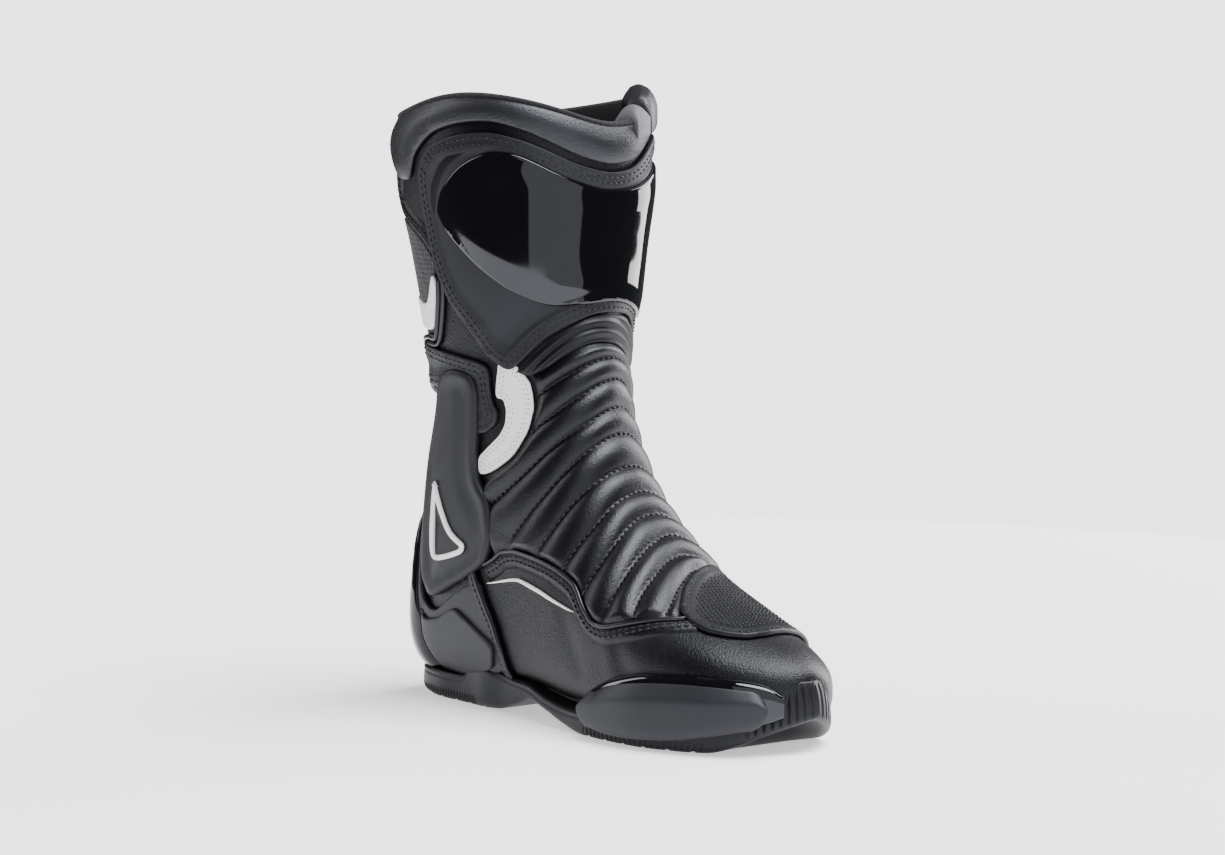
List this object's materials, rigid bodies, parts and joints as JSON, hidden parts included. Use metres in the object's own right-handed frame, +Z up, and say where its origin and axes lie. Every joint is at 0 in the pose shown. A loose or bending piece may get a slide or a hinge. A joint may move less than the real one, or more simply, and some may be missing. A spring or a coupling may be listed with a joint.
{
  "type": "motorcycle boot",
  "caption": "Tall motorcycle boot for the right foot: hollow grained upper with padded collar, moulded shin and ankle guards, heel cup, toe slider, lugged rubber sole.",
  "frame": {"origin": "on the floor under the middle of the heel, at the heel_rest mount", "axes": "+X from the heel to the toe, +Y to the medial side, +Z up the shaft"},
  "size_m": [0.3013, 0.1265, 0.3194],
  "materials": {
    "leather": "smooth and finely grained black leather and microfibre, semi-matt",
    "rubber": "matt black rubber",
    "fabric": "dark knitted lining",
    "moulded": "matt dark grey moulded polyurethane",
    "gloss": "high gloss black moulded plastic",
    "light": "white microfibre and moulded trim"
  },
  "bodies": {
    "root": {"upper": "leather", "outsole": "rubber", "insole": "fabric", "collar_pad": "leather", "closure_flap": "leather", "shin_frame": "moulded", "shin_plate": "gloss", "flex_panel": "rubber", "calf_guard": "moulded", "ankle_brace": "moulded", "brace_inlay": "light", "front_trim": "light", "rear_trim": "light", "heel_counter": "moulded", "heel_spoiler": "gloss", "shift_patch": "rubber", "toe_slider_base": "gloss", "toe_slider": "moulded"}
  },
  "joints": []
}
